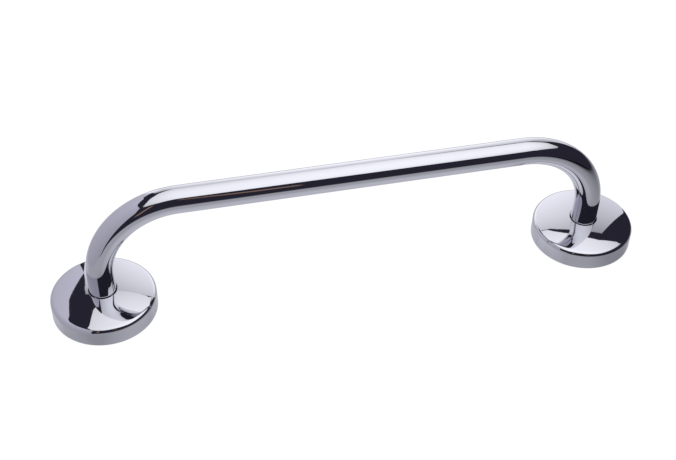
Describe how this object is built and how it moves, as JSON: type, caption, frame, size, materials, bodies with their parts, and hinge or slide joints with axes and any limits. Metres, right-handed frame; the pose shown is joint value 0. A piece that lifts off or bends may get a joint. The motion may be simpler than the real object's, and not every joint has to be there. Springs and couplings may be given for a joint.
{
  "type": "towel rail",
  "caption": "Chrome towel rail: a tube bent into a shallow U and welded to a fixing flange at each end, with domed covers that slide up the legs off the screw holes.",
  "frame": {"origin": "on the wall plane, midway between the two legs", "axes": "+X along the bar, +Z straight out of the wall, which is up as the rail stands on its flanges"},
  "size_m": [0.362, 0.062, 0.084],
  "materials": {
    "chrome": "polished",
    "flange_steel": "plain zinc-plated sheet",
    "weld": "as welded"
  },
  "bodies": {
    "rail": {"rail_tube": "chrome", "left_fixing_flange": "flange_steel", "right_fixing_flange": "flange_steel", "left_weld_bead": "weld", "right_weld_bead": "weld"},
    "left_cover": {"left_cover": "chrome"},
    "right_cover": {"right_cover": "chrome"}
  },
  "joints": [
    {"name": "left_cover_slide", "type": "slide", "parent": "rail", "child": "left_cover", "axis": [0, 0, 1], "range_m": [0, 0.0125]},
    {"name": "right_cover_slide", "type": "slide", "parent": "rail", "child": "right_cover", "axis": [0, 0, 1], "range_m": [0, 0.0125]}
  ]
}
